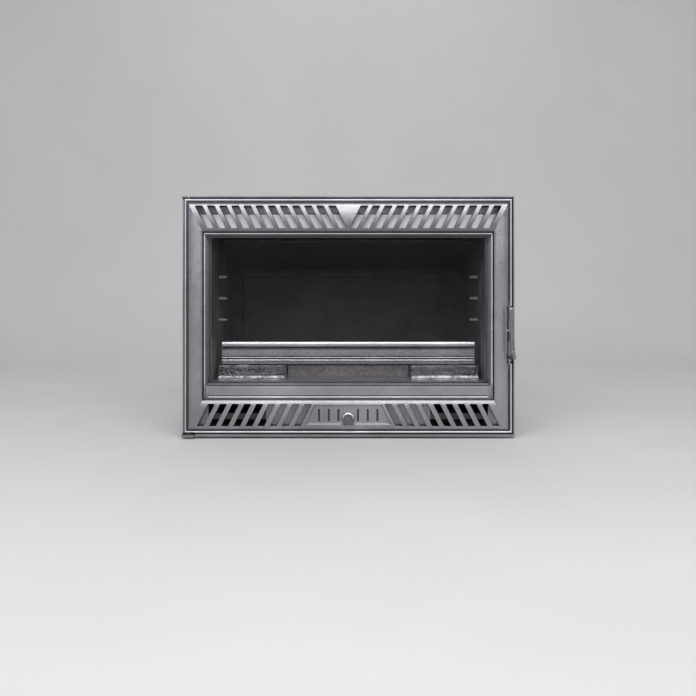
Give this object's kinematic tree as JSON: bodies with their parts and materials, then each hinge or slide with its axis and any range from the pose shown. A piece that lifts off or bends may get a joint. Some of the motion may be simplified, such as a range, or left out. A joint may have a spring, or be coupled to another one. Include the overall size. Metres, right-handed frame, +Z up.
{
  "type": "fireplace insert",
  "caption": "Cast-iron wood-burning fireplace insert with a hinged glass door between two leaning-slot grilles, log retainer, grate, ash pan, air shutter and top flue collar.",
  "frame": {"origin": "on the floor, under the middle of the insert's bounding box", "axes": "+Z up; -Y is the way the door faces; +X is to the viewer's right"},
  "size_m": [0.7, 0.458, 0.519],
  "materials": {
    "polished_iron": "polished and graphited cast iron",
    "dark_iron": "rough sooty cast iron",
    "glazed_iron": "glossy embossed cast iron",
    "pan_steel": "heat-stained sheet steel",
    "galvanised_sheet": "galvanised sheet with spangle",
    "carriage_steel": "mill-finish steel",
    "bright_steel": "zinc-plated steel",
    "brass": "turned brass",
    "clear_glass": "clear ceramic glass",
    "rope": "braided fibre rope"
  },
  "bodies": {
    "insert_body": {"front_frame": "polished_iron", "lower_hinge_pin": "bright_steel", "upper_hinge_pin": "bright_steel", "hinge_washer": "brass", "latch_keeper": "carriage_steel", "keeper_screws": "bright_steel", "firebox_right_side": "dark_iron", "firebox_left_side": "dark_iron", "firebox_back": "dark_iron", "firebox_base": "dark_iron", "firebox_roof": "dark_iron", "tie_rods": "bright_steel", "tie_rod_nuts": "bright_steel", "frame_bolts": "bright_steel", "rack_pins": "dark_iron", "fireback": "dark_iron", "smoke_baffle": "dark_iron", "baffle_rests": "dark_iron", "hearth_block_right": "glazed_iron", "hearth_block_left": "glazed_iron", "flue_collar": "dark_iron", "flue_gasket": "rope", "flue_collar_bolts": "bright_steel", "support_rail_right": "carriage_steel", "support_rail_left": "carriage_steel", "levelling_feet": "bright_steel", "foot_locknuts": "bright_steel", "casing_bottom": "galvanised_sheet", "primary_air_duct": "galvanised_sheet", "inlet_cross_rails": "carriage_steel", "outlet_deflector": "galvanised_sheet", "casing_right": "galvanised_sheet", "casing_left": "galvanised_sheet", "casing_back": "galvanised_sheet", "casing_top": "galvanised_sheet", "casing_screws": "bright_steel"},
    "door": {"door": "polished_iron", "door_glass": "clear_glass", "glass_gasket": "rope", "door_rope_seal": "rope", "glass_clips": "carriage_steel", "glass_clip_screws": "bright_steel", "shutter_guides": "carriage_steel", "shutter_guide_screws": "bright_steel", "latch_pin": "bright_steel"},
    "latch": {"latch_handle": "polished_iron", "handle_cap": "bright_steel", "latch_cam": "carriage_steel", "latch_key": "bright_steel"},
    "air_shutter": {"air_shutter": "carriage_steel", "shutter_stud": "bright_steel", "shutter_nut": "bright_steel", "shutter_knob": "polished_iron"},
    "log_retainer": {"log_retainer": "polished_iron"},
    "grate": {"grate": "dark_iron"},
    "ash_pan": {"ash_pan": "pan_steel"}
  },
  "joints": [
    {"name": "door_hinge", "type": "hinge", "parent": "insert_body", "child": "door", "pos_m": [-0.336, -0.18445, 0.0127], "axis": [0, 0, -1], "range_deg": [0, 100]},
    {"name": "latch_turn", "type": "hinge", "parent": "door", "child": "latch", "pos_m": [0.339, -0.18695, 0.1634], "axis": [0, 0, 1], "range_deg": [-18, 0]},
    {"name": "shutter_slide", "type": "slide", "parent": "door", "child": "air_shutter", "axis": [1, 0, 0], "range_m": [0, 0.0102]},
    {"name": "retainer_lift", "type": "slide", "parent": "insert_body", "child": "log_retainer", "axis": [0, 0, 1], "range_m": [0, 0.06]},
    {"name": "grate_lift", "type": "slide", "parent": "insert_body", "child": "grate", "axis": [0, 0, 1], "range_m": [0, 0.08]},
    {"name": "pan_slide", "type": "slide", "parent": "insert_body", "child": "ash_pan", "axis": [0, -1, 0], "range_m": [0, 0.06]}
  ]
}
